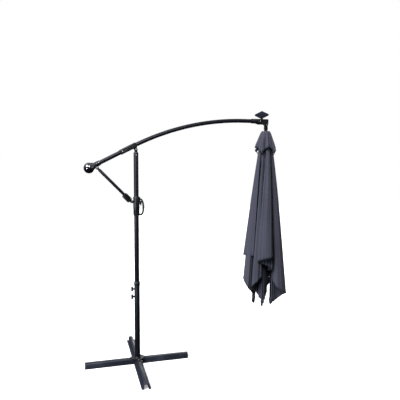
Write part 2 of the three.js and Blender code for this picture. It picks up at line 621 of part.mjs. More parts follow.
function buildWinderCase() {
  const { left, right, bottom, top, half, wall } = CASE;
  const outside = plate(roundedBox(left, bottom, right, top, 9), 2 * half, "xz");
  const hollow = roundedBox(left + wall, bottom + wall, right - wall, top - wall, 6);
  const cavity = plate(hollow, 2 * (half - wall), "xz");
  const tubeBore = rod(STRUT_RADIUS + GAP, THROUGH, "z", [0, 0, top], ROUND);
  const slotX = FOOT_WIDTH.half + GAP;
  const slotY = FOOT_WIDTH.tongue / 2 + GAP;
  const footSlot = block([-slotX, -slotY, 0], [slotX, slotY, bottom + wall + 1]);
  const crankBore = rod(CRANK.shaft + GAP, 4 * half, "y", [WINDER.x, 0, WINDER.z]);
  const whole = cut(outside, cavity, tubeBore, footSlot, crankBore);
  const front = cut(whole, block([-FAR, -GAP / 2, -FAR], [FAR, FAR, FAR]));
  const back = cut(whole, block([-FAR, -FAR, -FAR], [FAR, GAP / 2, FAR]));
  add("winder_case_front", front, PLASTIC, strutFrame);
  add("winder_case_back", back, PLASTIC, strutFrame);
}

function buildWinder() {
  const { x, z } = WINDER;
  const { shaft: shaftRadius, reach, stub: stubRadius, thick, knob: knobLength } = CRANK;
  const spoolEnd = CASE.half - CASE.wall - 1;
  const flangeBack = spoolEnd - 3;
  const spool = turned([
    [shaftRadius + GAP, -spoolEnd], [14, -spoolEnd], [14, -flangeBack], [9, -flangeBack],
    [9, flangeBack], [14, flangeBack], [14, spoolEnd], [shaftRadius + GAP, spoolEnd],
  ], SMALL_ROUND);
  add("cord_spool", spool.rotateX(Math.PI / 2).translate(x, 0, z), PLASTIC, strutFrame);

  const leverBack = -CASE.half - 8;
  const leverFront = leverBack - thick;
  const shaftEnd = CASE.half + 3;
  const shaft = rod(shaftRadius, shaftEnd - leverBack, "y", [x, (shaftEnd + leverBack) / 2, z]);
  const tip = [x + 12, z + reach];
  const lever = plate(roundEnded([x, z], tip, 9), thick, "xz", thick / 2 - leverBack - 0.5);
  const stub = rod(stubRadius, knobLength + 6, "y", [tip[0], leverFront - knobLength / 2, tip[1]]);
  add("winder_crank", join(shaft, lever, stub), PAINTED, strutFrame);

  const knobNear = leverFront - GAP;
  const bore = stubRadius + GAP;
  const knob = turned([
    [bore, 0], [8, 0], [10, 5], [10, knobLength - 5], [8, knobLength], [bore, knobLength],
  ], SMALL_ROUND);
  knob.rotateX(Math.PI / 2).translate(tip[0], knobNear, tip[1]);
  add("crank_knob", knob, PLASTIC, strutFrame);
}

// ---------------------------------------------------------------- sliding handle

/** The bow of the D-shaped grip, from the top of the slider round to its foot. */
function gripBow() {
  const path = new THREE.CatmullRomCurve3(GRIP_LINE.map(([x, z]) => new THREE.Vector3(x, 0, z)));
  const section = roundedBox(-8, -8, 8, 8, 4);
  return new THREE.ExtrudeGeometry(section, { steps: 16, extrudePath: path, curveSegments: 2 });
}

function buildSlider() {
  const { bottom, top, radius } = SLIDER;
  const bore = UPPER_MAST.radius + GAP;
  const sleeve = turned([
    [bore, bottom], [radius - 3, bottom], [radius, bottom + 6],
    [radius, top - 8], [radius - 3, top], [bore, top],
  ]);
  const box = LOCK_BOX;
  const lockBox = plate(roundedBox(box.near, box.bottom, box.far, box.top, 5), box.width, "xz");
  const foot = [STRUT_FOOT.x, STRUT_FOOT.z];
  const earTo = 12.2;
  const ears = cheeks(roundEnded([3 - radius, STRUT_FOOT.z], foot, 12), 7.2, earTo, "xz");
  const pivot = [TRIGGER_PIVOT.x, TRIGGER_PIVOT.z];
  const guards = cheeks(roundEnded([30, TRIGGER_PIVOT.z + 8], pivot, 7.5), 5.8, 9, "xz");
  const mastBore = rod(bore, 2 * (top - bottom), "z", [0, 0, (top + bottom) / 2], ROUND);
  const shoeRoom = 0.4;
  const slotHalf = SHOE.half + shoeRoom;
  const slotLow = [0, -slotHalf, SHOE.bottom - shoeRoom];
  const shoeSlot = block(slotLow, [SHOE.far + 2.4, slotHalf, SHOE.top + shoeRoom]);
  const footBore = rod(STRUT_PIN + GAP, THROUGH, "y", [foot[0], 0, foot[1]]);
  const triggerBore = rod(TRIGGER_PIVOT.pin + GAP, THROUGH, "y", [pivot[0], 0, pivot[1]]);
  const body = join(sleeve, lockBox, gripBow(), ...ears, ...guards);
  const whole = cut(body, mastBore, shoeSlot, footBore, triggerBore);
  const front = cut(whole, block([-FAR, -GAP / 2, -FAR], [FAR, FAR, FAR]));
  const back = cut(whole, block([-FAR, -FAR, -FAR], [FAR, GAP / 2, FAR]));
  add("slider_shell_front", front, PLASTIC);
  add("slider_shell_back", back, PLASTIC);
  const footPin = headedPin(STRUT_PIN, 7, 2 * earTo + 1, 3, "y", [foot[0], 0, foot[1]]);
  add("strut_foot_pin", footPin, STEEL);
}

function buildTrigger() {
  const { x, z, pin } = TRIGGER_PIVOT;
  const blade = plate(roundEnded([x, z], [x - 1, z - 27], 5), 10.6, "xz");
  add("release_trigger", join(blade, rod(pin, 18, "y", [x, 0, z])), PLASTIC);
  const shoeNear = UPPER_MAST.radius + GAP + 0.2;
  const shoe = block([shoeNear, -SHOE.half, SHOE.bottom], [SHOE.far, SHOE.half, SHOE.top]);
  add("brake_shoe", shoe, RUBBER);
}

// ---------------------------------------------------------------- canopy frame

/** How far below the hub's rib ring the hem hangs, at a share of the way from a short rib (0)
 *  to a long rib (1): a straight side of the square seen from its centre. */
function hemDrop(halfSide, share) {
  return halfSide * Math.hypot(1, share);
}

function buildHub() {
  const axis = [CANOPY_X, 0, 0];
  const rimTop = HUB.top - 3;
  const rimBottom = rimTop - HUB.lip;
  const cap = turned([
    [0, HUB.bottom], [HUB.radius, HUB.bottom], [HUB.radius, rimBottom],
    [HUB.cap, rimBottom], [HUB.cap, rimTop], [HUB.cap - 6, HUB.top], [0, HUB.top],
  ]);
  const neck = plate(roundEnded([0, rimTop], [0, CANOPY_PIN.z], 10.5), HANGER.width, "yz");
  const pinBore = rod(CANOPY_PIN.shank + GAP, THROUGH, "x", [0, 0, CANOPY_PIN.z]);
  add("canopy_hub", cut(join(cap, neck), pinBore).translate(...axis), PLASTIC);

  const { radius, bottom } = POLE;
  const pole = pipe(radius, radius - 1, bottom, HUB.bottom - GAP);
  add("canopy_pole", pole.translate(...axis), PAINTED);
  const inner = radius + GAP;
  const runner = turned([
    [inner, RUNNER.bottom], [RUNNER.neck, RUNNER.bottom], [RUNNER.neck, RUNNER.rim],
    [RUNNER.radius, RUNNER.rim], [RUNNER.radius, RUNNER.top], [inner, RUNNER.top],
  ]);
  add("canopy_runner", runner.translate(...axis), PLASTIC);
}

function ribTip(isLong) {
  return isLong ? LONG_RIB_TIP : SHORT_RIB_TIP;
}

function buildRibs() {
  const halfWidth = RIB.width / 2;
  const halfDepth = RIB.depth / 2;
  const section = new THREE.Shape();
  section.moveTo(-halfDepth, -halfWidth).lineTo(halfDepth, -halfWidth);
  section.lineTo(halfDepth, halfWidth).lineTo(-halfDepth, halfWidth).closePath();
  const [innerDepth, innerWidth] = [halfDepth - RIB.wall, halfWidth - RIB.wall];
  const hollow = new THREE.Path();
  hollow.moveTo(-innerDepth, -innerWidth).lineTo(-innerDepth, innerWidth);
  hollow.lineTo(innerDepth, innerWidth).lineTo(innerDepth, -innerWidth).closePath();
  section.holes.push(hollow);
  const rootDrop = 12;
  for (let k = 0; k < 8; k += 1) {
    const isLong = k % 2 === 1;
    const length = hemDrop(CANOPY_HALF_SIDE, isLong ? 1 : 0) - rootDrop;
    const lean = Math.atan2(ribTip(isLong) - RIB_ROOT.radius, length);
    const bar = new THREE.ExtrudeGeometry(section, { depth: length, bevelEnabled: false });
    bar.rotateX(Math.PI).rotateY(-lean).translate(RIB_ROOT.radius, 0, RIB_ROOT.z - rootDrop);
    bar.rotateZ(CANOPY_TURN + (k * Math.PI) / 4).translate(CANOPY_X, 0, 0);
    add(`${isLong ? "long" : "short"}_rib_${(k >> 1) + 1}`, bar, PAINTED);
  }
}

// ---------------------------------------------------------------- cloth

/** A closed shell of cloth about the canopy's axis. radiusAt(share, drop) is its outer radius
 *  at a share of the way from a short rib to a long one, and dropAt(share, level) the height
 *  of a level below the rib ring, the last level being the hem. */
function clothShell(levels, radiusAt, dropAt) {
  const columns = CLOTH_COLUMNS;
  const vertices = [];
  for (const inset of [0, CLOTH_WALL]) {
    for (let level = 0; level <= levels; level += 1) {
      for (let column = 0; column < columns; column += 1) {
        const angle = (2 * Math.PI * column) / columns;
        const turn = (angle / (Math.PI / 4)) % 2;
        const share = turn <= 1 ? turn : 2 - turn;
        const drop = dropAt(share, level);
        const radius = radiusAt(share, drop) - inset;
        const x = CANOPY_X + radius * Math.cos(CANOPY_TURN + angle);
        const y = radius * Math.sin(CANOPY_TURN + angle);
        vertices.push(x, y, RIB_ROOT.z - drop);
      }
    }
  }
  const inside = columns * (levels + 1);
  const index = [];
  const quad = (a, b, c, d) => index.push(a, b, c, a, c, d);
  for (let column = 0; column < columns; column += 1) {
    const next = (column + 1) % columns;
    for (let level = 0; level < levels; level += 1) {
      const [above, below] = [level * columns, (level + 1) * columns];
      const [high, low] = [inside + above, inside + below];
      quad(above + column, below + column, below + next, above + next);
      quad(high + column, high + next, low + next, low + column);
    }
    const hem = levels * columns;
    quad(hem + column, inside + hem + column, inside + hem + next, hem + next);
    quad(next, inside + next, inside + column, column);
  }
  const geometry = new THREE.BufferGeometry();
  geometry.setAttribute("position", new THREE.Float32BufferAttribute(vertices, 3));
  geometry.setIndex(index);
  return geometryOf(solid(geometry));
}

/** Outer radius of the closed canopy: close to the ribs at each rib, bulging between them. */
function canopyRadius(share, drop) {
  const tip = THREE.MathUtils.lerp(SHORT_RIB_TIP, LONG_RIB_TIP, share);
  const slope = (tip - RIB_ROOT.radius) / hemDrop(CANOPY_HALF_SIDE, share);
  if (drop < 0) return CLOTH_THROAT;
  const overRib = RIB_ROOT.radius + slope * drop + RIB_COVER;
  const bulge = Math.min(CLOTH_SWELL.from + CLOTH_SWELL.slope * drop, CLOTH_REACH);
  const swell = Math.sin(Math.PI * share) ** 0.7;
  return THREE.MathUtils.lerp(overRib, Math.max(bulge, overRib), swell);
}

function ventRadius(share, drop) {
  const spread = THREE.MathUtils.clamp((drop - VENT_TOP) / VENT_REACH.drop, 0, 1) ** 0.75;
  const corner = THREE.MathUtils.lerp(VENT_REACH.throat, VENT_REACH.corner, spread);
  const middle = THREE.MathUtils.lerp(VENT_REACH.throat, VENT_REACH.middle, spread);
  return THREE.MathUtils.lerp(corner, middle, 2 * Math.abs(share - 0.5));
}

function buildCloth() {
  const clothTop = -11;
  const levels = 12;
  const canopyDrop = (share, level) => {
    const fraction = (level - 1) / (levels - 1);
    return level === 0 ? clothTop : hemDrop(CANOPY_HALF_SIDE, share) * fraction ** 1.2;
  };
  add("canopy_cloth", clothShell(levels, canopyRadius, canopyDrop), CLOTH);

  const ventLevels = 4;
  const ventDrop = (share, level) =>
    THREE.MathUtils.lerp(VENT_TOP, hemDrop(VENT_HALF_SIDE, share), level / ventLevels);
  add("vent_cloth", clothShell(ventLevels, ventRadius, ventDrop), CLOTH);
}

// ---------------------------------------------------------------- the whole object

buildBase();
buildFoot();
buildLowerMast();
buildThumbScrews();
buildUpperMast();
buildArm();
buildRearHousing();
buildTipCasting();
buildHanger();
buildSolarPanel();
buildStrut();
buildWinderCase();
buildWinder();
buildSlider();
buildTrigger();
buildHub();
buildRibs();
buildCloth();

export default parasol;
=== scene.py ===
"""A cantilever parasol, its canopy hanging closed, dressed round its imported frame.

Metres, +Z up, the floor at z = 0, the mast's axis on Z and the arm along +X.
"""

import itertools
import json
import math

import bpy
import numpy as np
from mathutils import Euler, Matrix, Vector


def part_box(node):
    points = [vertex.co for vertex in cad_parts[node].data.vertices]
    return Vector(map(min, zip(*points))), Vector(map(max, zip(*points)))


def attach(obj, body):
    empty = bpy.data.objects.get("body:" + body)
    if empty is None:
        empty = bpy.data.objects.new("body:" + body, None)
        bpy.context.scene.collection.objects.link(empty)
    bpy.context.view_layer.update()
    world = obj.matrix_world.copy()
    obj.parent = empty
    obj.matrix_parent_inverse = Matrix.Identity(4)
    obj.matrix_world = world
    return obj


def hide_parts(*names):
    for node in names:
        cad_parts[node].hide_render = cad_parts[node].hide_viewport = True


# ---------------------------------------------------------------- driving dimensions

CANOPY_X = 1.296  # the canopy's hanging axis
RIB_RING = 2.205  # height of the ring of rib pivots
RIB_ROOT = 0.038  # from the canopy's axis
HALF_SIDE = 1.215  # of the open square canopy
SHORT_RIB_TIP = 0.135  # from the canopy's axis
LONG_RIB_TIP = 0.085
RIBS = 8
RIB_DEPTH = 0.015
RIB_WIDTH = 0.010
STRETCHER_SHARE = (0.46, 0.34)  # where a stretcher meets a short rib and a long one
LOCK_BOX_HALF = 0.013  # of the lock's housing on the sliding handle
GRIP_HALF = 0.008
CASE_HALF = 0.024  # of the winder's case
TIP_SOCKET_HALF = 0.017  # of the tip casting round the arm
SCREW = 0.0034  # radius of a screw's head
CASE_SCREW = 0.003
SMALL_SCREW = 0.0028
VENT_HALF_SIDE = 0.200
VENT_TOP = 2.2285
VENT_SLIP = math.radians(22)  # how far it has slipped round over the main cloth
VENT_THROAT = 0.040  # its radius where it leaves the hub's cap
VENT_FLARE = 0.054  # how far its skirt stands out beyond that
VENT_GRID = (360, 26)  # columns and rows of the cloth
VENT_LIP = 0.02  # drop over which it clears the hub's cap
VENT_SPREAD = 0.19  # drop at which it stands out furthest
VENT_FOLDED = 0.13  # drop at which its folds are fully open
VENT_FOLDS = ((8, 0.009, 0.5), (13, 0.011, 2.1), (27, 0.004, 1.0))  # count, depth, phase
PANEL_TILT = math.radians(36.5)
PANEL_SWIVEL = math.radians(-28)
PANEL_LINES = (  # direction, spacing and colour of the lines between its cells
    ("X", 0.0225, (0.014, 0.015, 0.02)),
    ("Y", 0.004, (0.006, 0.007, 0.014)),
)
GORE = math.pi / 4  # between a short rib and a long one
CANOPY_TURN = math.radians(-27)  # of the right long rib, from the arm

CAMERA_PLACE = (-0.555, -3.682, 1.882)
CAMERA_TURN = math.radians(-13.4)
CAMERA_DIP = math.radians(5.5)
CAMERA_SHIFT = (0.075, 0.0125)

SKY_STRENGTH = 0.5  # straight overhead
FLOOR_HALF = 14.0
FLOOR_GLOW = 0.35  # lifts the floor's shadows without lighting the object
KEY_STRENGTH = 5.0
KEY_DIRECTION = (0.85, 0.5, -0.9)  # the way the light travels
KEY_SPREAD = math.radians(28)
MIDDLE = (0.6, 0, 1.3)  # of the whole object
WHITE = (1, 1, 1)
COOL = (0.9, 0.94, 1.0)
BLUISH = (0.82, 0.9, 1.0)
AREA_LIGHTS = {  # place, target, size in metres, watts, colour
    "fill": ((4.2, -2.4, 2.4), MIDDLE, 2.2, 8, COOL),
    "top": ((-0.3, -2.2, 3.7), (1.25, 0, 2.0), 1.0, 50, WHITE),
    "rim": ((1.0, 4.0, 3.4), MIDDLE, 2.4, 18, WHITE),
    "back": ((2.0, 4.2, 1.2), MIDDLE, 2.0, 60, WHITE),
    "side": ((-3.3, -2.3, 1.3), (0, 0, 1.4), 0.8, 75, BLUISH),
}

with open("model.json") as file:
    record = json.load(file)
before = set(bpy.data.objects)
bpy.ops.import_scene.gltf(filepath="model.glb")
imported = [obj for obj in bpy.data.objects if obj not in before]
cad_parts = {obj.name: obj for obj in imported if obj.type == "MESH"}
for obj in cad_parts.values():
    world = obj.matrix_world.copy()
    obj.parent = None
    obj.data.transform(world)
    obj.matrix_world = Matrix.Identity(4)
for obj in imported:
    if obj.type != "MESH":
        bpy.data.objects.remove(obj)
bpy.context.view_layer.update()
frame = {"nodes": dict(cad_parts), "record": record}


# ---------------------------------------------------------------- camera, floor and lights


def make_camera():
    """At standing height, in front of the mast and a little to its left, looking slightly down."""
    data = bpy.data.cameras.new("camera")
    data.lens = 36
    data.sensor_width = 36
    data.shift_x, data.shift_y = CAMERA_SHIFT
    camera = bpy.data.objects.new("camera", data)
    camera.location = CAMERA_PLACE
    camera.rotation_euler = (math.pi / 2 - CAMERA_DIP, 0, CAMERA_TURN)
    bpy.context.scene.collection.objects.link(camera)
    bpy.context.scene.camera = camera


def area_light(name, place, target, size, power, colour):
    """A square soft light turned to its target."""
    data = bpy.data.lights.new(name, "AREA")
    data.size = size
    data.energy = power
    data.color = colour
    light = bpy.data.objects.new(name, data)
    light.location = place
    aim = Vector(target) - Vector(place)
    light.rotation_euler = aim.to_track_quat("-Z", "Y").to_euler()
    bpy.context.scene.collection.objects.link(light)


def make_sky():
    """A dome that is bright overhead and dark below the horizon, white where the camera sees it."""
    world = bpy.data.worlds.new("studio")
    world.use_nodes = True
    nodes, links = world.node_tree.nodes, world.node_tree.links
    sky, backdrop = nodes["Background"], nodes.new("ShaderNodeBackground")
    sky.inputs["Color"].default_value = (0.86, 0.9, 1.0, 1)
    backdrop.inputs["Color"].default_value = (1, 1, 1, 1)
    direction, split = nodes.new("ShaderNodeTexCoord"), nodes.new("ShaderNodeSeparateXYZ")
    dome = nodes.new("ShaderNodeMapRange")
    dome.inputs["From Min"].default_value = -0.15
    dome.inputs["To Max"].default_value = SKY_STRENGTH
    links.new(direction.outputs["Generated"], split.inputs["Vector"])
    links.new(split.outputs["Z"], dome.inputs["Value"])
    links.new(dome.outputs["Result"], sky.inputs["Strength"])
    rays, choice = nodes.new("ShaderNodeLightPath"), nodes.new("ShaderNodeMixShader")
    links.new(rays.outputs["Is Camera Ray"], choice.inputs["Fac"])
    links.new(sky.outputs["Background"], choice.inputs[1])
    links.new(backdrop.outputs["Background"], choice.inputs[2])
    links.new(choice.outputs["Shader"], nodes["World Output"].inputs["Surface"])
    bpy.context.scene.world = world
    bpy.context.scene.view_settings.view_transform = "Standard"


def make_lights():
    """A broad soft key from the upper left, and area lights for the other sides."""
    data = bpy.data.lights.new("key", "SUN")
    data.energy = KEY_STRENGTH
    data.angle = KEY_SPREAD
    key = bpy.data.objects.new("key", data)
    key.rotation_euler = Vector(KEY_DIRECTION).to_track_quat("-Z", "Y").to_euler()
    bpy.context.scene.collection.objects.link(key)
    for name, settings in AREA_LIGHTS.items():
        area_light(name, *settings)


def make_floor():
    """A plain pale floor, unseen by reflections and bounced light."""
    half = FLOOR_HALF
    corners = [(-half, -half, 0), (half, -half, 0), (half, half, 0), (-half, half, 0)]
    mesh = bpy.data.meshes.new("floor")
    mesh.from_pydata(corners, [], [(0, 1, 2, 3)])
    floor = bpy.data.objects.new("floor", mesh)
    bpy.context.scene.collection.objects.link(floor)
    material = bpy.data.materials.new("floor")
    material.use_nodes = True
    shader = material.node_tree.nodes["Principled BSDF"]
    shader.inputs["Base Color"].default_value = (0.9, 0.9, 0.9, 1)
    shader.inputs["Roughness"].default_value = 0.9
    shader.inputs["Specular IOR Level"].default_value = 0.0
    shader.inputs["Emission Color"].default_value = (1, 1, 1, 1)
    shader.inputs["Emission Strength"].default_value = FLOOR_GLOW
    mesh.materials.append(material)
    floor.visible_diffuse = False
    floor.visible_glossy = False


# ---------------------------------------------------------------- material nodes


class Look:
    """A material under construction: its shader and the node chains that feed it."""

    def __init__(self, name, colour, roughness, metallic=0.0):
        self.material = bpy.data.materials.new(name)
        self.material.use_nodes = True
        self.tree = self.material.node_tree
        self.shader = self.tree.nodes["Principled BSDF"]
        self.colour = colour
        self.set("Base Color", (*colour, 1))
        self.set("Roughness", roughness)
        self.set("Metallic", metallic)
        self.height = None

    def set(self, socket, value):
        self.shader.inputs[socket].default_value = value

    def node(self, kind, **inputs):
        made = self.tree.nodes.new(kind)
        for name, value in inputs.items():
            made.inputs[name.replace("_", " ")].default_value = value
        return made

    def link(self, source, target):
        self.tree.links.new(source, target)

    def place(self, by_uv=False):
        """Where the pattern is measured: along the cloth's own cut, or in the piece's own frame."""
        coordinates = self.node("ShaderNodeTexCoord")
        return coordinates.outputs["UV" if by_uv else "Object"]

    def noise(self, place, scale, detail=3.0, stretch=None):
        made = self.node("ShaderNodeTexNoise", Scale=scale, Detail=detail)
        if stretch:
            mapping = self.node("ShaderNodeMapping", Scale=stretch)
            self.link(place, mapping.inputs["Vector"])
            place = mapping.outputs["Vector"]
        self.link(place, made.inputs["Vector"])
        return made.outputs["Fac"]

    def remap(self, value, low, high, start=0.35, end=0.65):
        made = self.node("ShaderNodeMapRange")
        made.inputs["From Min"].default_value = start
        made.inputs["From Max"].default_value = end
        made.inputs["To Min"].default_value = low
        made.inputs["To Max"].default_value = high
        self.link(value, made.inputs["Value"])
        return made.outputs["Result"]

    def tint(self, factor, other):
        """Blends the base colour towards another where factor is 1."""
        mix = self.node("ShaderNodeMix")
        mix.data_type = "RGBA"
        own, towards, blended = mix.inputs[6], mix.inputs[7], mix.outputs[2]  # its colour sockets
        own.default_value = (*self.colour, 1)
        towards.default_value = (*other, 1)
        before = self.shader.inputs["Base Color"].links
        if before:
            self.link(before[0].from_socket, own)
        self.link(factor, mix.inputs[0])
        self.link(blended, self.shader.inputs["Base Color"])

    def roughen(self, factor, low, high):
        self.link(self.remap(factor, low, high), self.shader.inputs["Roughness"])

    def bump(self, height, distance, strength=1.0):
        made = self.node("ShaderNodeBump", Strength=strength, Distance=distance)
        self.link(height, made.inputs["Height"])
        if self.height:
            self.link(self.height, made.inputs["Normal"])
        self.height = made.outputs["Normal"]
        self.link(self.height, self.shader.inputs["Normal"])


def powder_coat(name, colour, dusty):
    """Baked paint on steel: orange peel, faint rubbed streaks along the tube and settled dust."""
    look = Look(name, colour, 0.42)
    place = look.place()
    streaks = look.noise(place, 18, 4, (6, 6, 0.6))
    look.roughen(streaks, 0.36, 0.5)
    look.bump(look.noise(place, 900, 2), 0.0002, 0.12)
    look.tint(look.remap(look.noise(place, 7, 5), 0, 0.35, 0.5, 0.75), dusty)
    look.set("Specular IOR Level", 0.3)
    return look.material


def moulded_plastic(name, colour, roughness, grain, polish=0.0):
    """Injection-moulded nylon with a fine spark-eroded grain and handled, shinier patches."""
    look = Look(name, colour, roughness)
    place = look.place()
    look.bump(look.noise(place, 1400, 2), 0.0002, grain)
    handled = look.noise(place, 22, 3)
    look.roughen(handled, roughness - 0.08, roughness + 0.1)
    look.tint(look.remap(look.noise(place, 60, 4), 0, 0.3), tuple(c * 1.8 for c in colour))
    look.set("Coat Weight", polish)
    look.set("Coat Roughness", 0.06)
    look.set("Coat IOR", 1.5 + 0.8 * polish)
    return look.material


def plated_steel():
    """Zinc-plated fastener steel with turning marks and dull spots."""
    look = Look("plated_steel", (0.62, 0.63, 0.65), 0.3, 1.0)
    place = look.place()
    spots = look.noise(place, 260, 4)
    look.roughen(spots, 0.22, 0.45)
    look.tint(look.remap(spots, 0, 0.5), (0.45, 0.44, 0.42))
    look.bump(look.noise(place, 2200, 2), 0.0001, 0.3)
    return look.material


def rubber():
    """Dull moulded rubber with a coarse grain."""
    look = Look("rubber", (0.012, 0.012, 0.013), 0.85)
    place = look.place()
    look.bump(look.noise(place, 700, 3), 0.0004, 0.6)
    look.tint(look.remap(look.noise(place, 90, 3), 0, 0.5), (0.03, 0.03, 0.03))
    return look.material


def panel_matrix():
    """The solar panel's own frame: its face's middle, square sides along X and Y."""
    low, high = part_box("solar_glass")
    tilt = Euler((PANEL_TILT, 0, 0)).to_matrix()
    swivel = Euler((0, 0, PANEL_SWIVEL)).to_matrix()
    corner = Euler((0, 0, math.pi / 4)).to_matrix()
    return Matrix.Translation((low + high) / 2) @ (swivel @ tilt @ corner).to_4x4()


def solar_cells():
    """Near-black cells under clear resin, parted by slightly paler lines."""
    look = Look("solar_cells", (0.003, 0.004, 0.01), 0.3)
    look.set("Coat Weight", 0.1)
    look.set("Coat Roughness", 0.03)
    look.set("Specular IOR Level", 0.05)
    middle, turn, _ = panel_matrix().decompose()
    mapping = look.node("ShaderNodeMapping")
    mapping.vector_type = "TEXTURE"
    mapping.inputs["Location"].default_value = middle
    mapping.inputs["Rotation"].default_value = turn.to_euler()
    look.link(look.place(), mapping.inputs["Vector"])
    for direction, pitch, colour in PANEL_LINES:
        wave = look.node("ShaderNodeTexWave", Scale=math.pi / (10 * pitch))
        wave.bands_direction = direction
        look.link(mapping.outputs["Vector"], wave.inputs["Vector"])
        look.tint(look.remap(wave.outputs["Fac"], 0, 1, 0.93, 0.99), colour)
    return look.material


def lamp_lens():
    """Frosted warm white resin."""
    look = Look("lamp_lens", (0.85, 0.83, 0.75), 0.2)
    place = look.place()
    look.tint(look.remap(look.noise(place, 400, 2), 0, 0.4), (0.95, 0.9, 0.6))
    look.set("Coat Weight", 0.6)
    return look.material


def woven_cloth(name, colour, thread=0.0009):
    """Solution-dyed polyester: crossed threads, faint slubs, soft creases and dulled sun patches."""
    look = Look(name, colour, 0.88)
    cut = look.place(by_uv=True)
    weave = []
    for direction in ("X", "Y"):
        wave = look.node("ShaderNodeTexWave", Scale=math.pi / (10 * thread), Distortion=0.6)
        wave.bands_direction = direction
        look.link(cut, wave.inputs["Vector"])
        weave.append(wave.outputs["Fac"])
    crossed = look.node("ShaderNodeMath")
    crossed.operation = "MULTIPLY"
    look.link(weave[0], crossed.inputs[0])
    look.link(weave[1], crossed.inputs[1])
    look.bump(crossed.outputs["Value"], 0.0003, 0.5)
    look.bump(look.noise(cut, 26, 4), 0.006, 0.28)
    look.bump(look.noise(cut, 7, 3, (5, 1, 1)), 0.012, 0.25)
    lighter = tuple(c * 1.35 for c in colour)
    darker = tuple(c * 0.72 for c in colour)
    look.tint(look.remap(look.noise(cut, 3, 5), 0, 0.5), lighter)
    look.tint(look.remap(look.noise(cut, 320, 3, (1, 9, 1)), 0, 0.5), darker)
    look.set("Sheen Weight", 0.12)
    look.set("Sheen Roughness", 0.5)
    look.set("Specular IOR Level", 0.2)
    return look.material


LOOKS = {
    "base_paint": powder_coat("base_paint", (0.012, 0.014, 0.022), (0.05, 0.055, 0.07)),
    "frame_paint": powder_coat("frame_paint", (0.004, 0.0045, 0.008), (0.015, 0.016, 0.022)),
    "black_plastic": moulded_plastic("black_plastic", (0.004, 0.004, 0.006), 0.42, 0.4),
    "gloss_plastic": moulded_plastic("gloss_plastic", (0.006, 0.006, 0.009), 0.18, 0.05, 1.0),
    "steel": plated_steel(),
    "rubber": rubber(),
    "solar_glass": solar_cells(),
    "canopy_fabric": woven_cloth("canopy_fabric", (0.042, 0.0435, 0.063)),
}
HEM_TAPE = woven_cloth("hem_tape", (0.024, 0.026, 0.04), 0.0014)
LAMP_LENS = lamp_lens()


# ---------------------------------------------------------------- CAD nodes

EDGE_BREAK = 0.0006  # width of a broken edge
BROKEN_ANGLE = math.radians(50)  # edges sharper than this are broken
SHARP_ANGLE = math.radians(42)  # and sharper than this stay crisp in the shading


def softened(obj):
    """Merges a faceted piece's seams, breaks its sharp edges and shades its round faces smooth."""
    weld = obj.modifiers.new("weld", "WELD")
    weld.merge_threshold = 1e-5
    bevel = obj.modifiers.new("bevel", "BEVEL")
    bevel.width = EDGE_BREAK
    bevel.segments = 2
    bevel.limit_method = "ANGLE"
    bevel.angle_limit = BROKEN_ANGLE
    shading = obj.modifiers.new("shading", "NODES")
    shading.node_group = smooth_by_angle()


def smooth_by_angle():
    """Node group that shades faces smooth, apart from edges sharper than the limit."""
    known = bpy.data.node_groups.get("smooth_by_angle")
    if known:
        return known
    group = bpy.data.node_groups.new("smooth_by_angle", "GeometryNodeTree")
    group.interface.new_socket("Geometry", in_out="INPUT", socket_type="NodeSocketGeometry")
    group.interface.new_socket("Geometry", in_out="OUTPUT", socket_type="NodeSocketGeometry")
    nodes = group.nodes
    start, end = nodes.new("NodeGroupInput"), nodes.new("NodeGroupOutput")
    faces, edges = nodes.new("GeometryNodeSetShadeSmooth"), nodes.new("GeometryNodeSetShadeSmooth")
    edges.domain = "EDGE"
    edges.inputs["Shade Smooth"].default_value = False
    angle, sharp = nodes.new("GeometryNodeInputMeshEdgeAngle"), nodes.new("FunctionNodeCompare")
    sharp.operation = "GREATER_THAN"
    sharp.inputs[1].default_value = SHARP_ANGLE
    group.links.new(angle.outputs[0], sharp.inputs[0])
    group.links.new(sharp.outputs["Result"], edges.inputs["Selection"])
    group.links.new(start.outputs[0], faces.inputs["Geometry"])
    group.links.new(faces.outputs["Geometry"], edges.inputs["Geometry"])
    group.links.new(edges.outputs["Geometry"], end.inputs[0])
    return group


def dress_frame():
    """Every CAD node keeps its shape and takes its slot's material."""
    for part in frame["record"]["subparts"]:
        node = frame["nodes"][part["node"]]
        node.data.materials.clear()
        node.data.materials.append(LOOKS[part["material_slot"]])
        softened(node)


# ---------------------------------------------------------------- mesh pieces


def piece(name, vertices, faces, slot, body, material=None):
    """A smooth mesh in its slot, riding on its body if one is named."""
    mesh = bpy.data.meshes.new(name)
    mesh.from_pydata([tuple(v) for v in vertices], [], [tuple(f) for f in faces])
    mesh.polygons.foreach_set("use_smooth", [True] * len(mesh.polygons))
    mesh.materials.append(material or LOOKS[slot])
    obj = bpy.data.objects.new(name, mesh)
    bpy.context.scene.collection.objects.link(obj)
    if body:
        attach(obj, body)
    return obj


def ring_faces(rings, sides):
    """Faces of a tube made of rings of vertices, with its ends closed."""
    faces = []
    for i in range(rings - 1):
        for j in range(sides):
            k = (j + 1) % sides
            a, b = i * sides, (i + 1) * sides
            faces.append((a + j, a + k, b + k, b + j))
    faces.append(tuple(reversed(range(sides))))
    faces.append(tuple((rings - 1) * sides + j for j in range(sides)))
    return faces


def circle(radius, sides=12):
    """Corners of a regular polygon round the origin."""
    return [
        (radius * math.cos(2 * math.pi * j / sides), radius * math.sin(2 * math.pi * j / sides))
        for j in range(sides)
    ]


def turned(profile, axis_place, axis, sides=24):
    """Vertices and faces of a (radius, height) profile turned about an axis."""
    basis = Vector(axis).to_track_quat("Z", "Y").to_matrix()
    vertices = []
    for radius, height in profile:
        for a, b in circle(radius, sides):
            vertices.append(Vector(axis_place) + basis @ Vector((a, b, height)))
    return vertices, ring_faces(len(profile), sides)


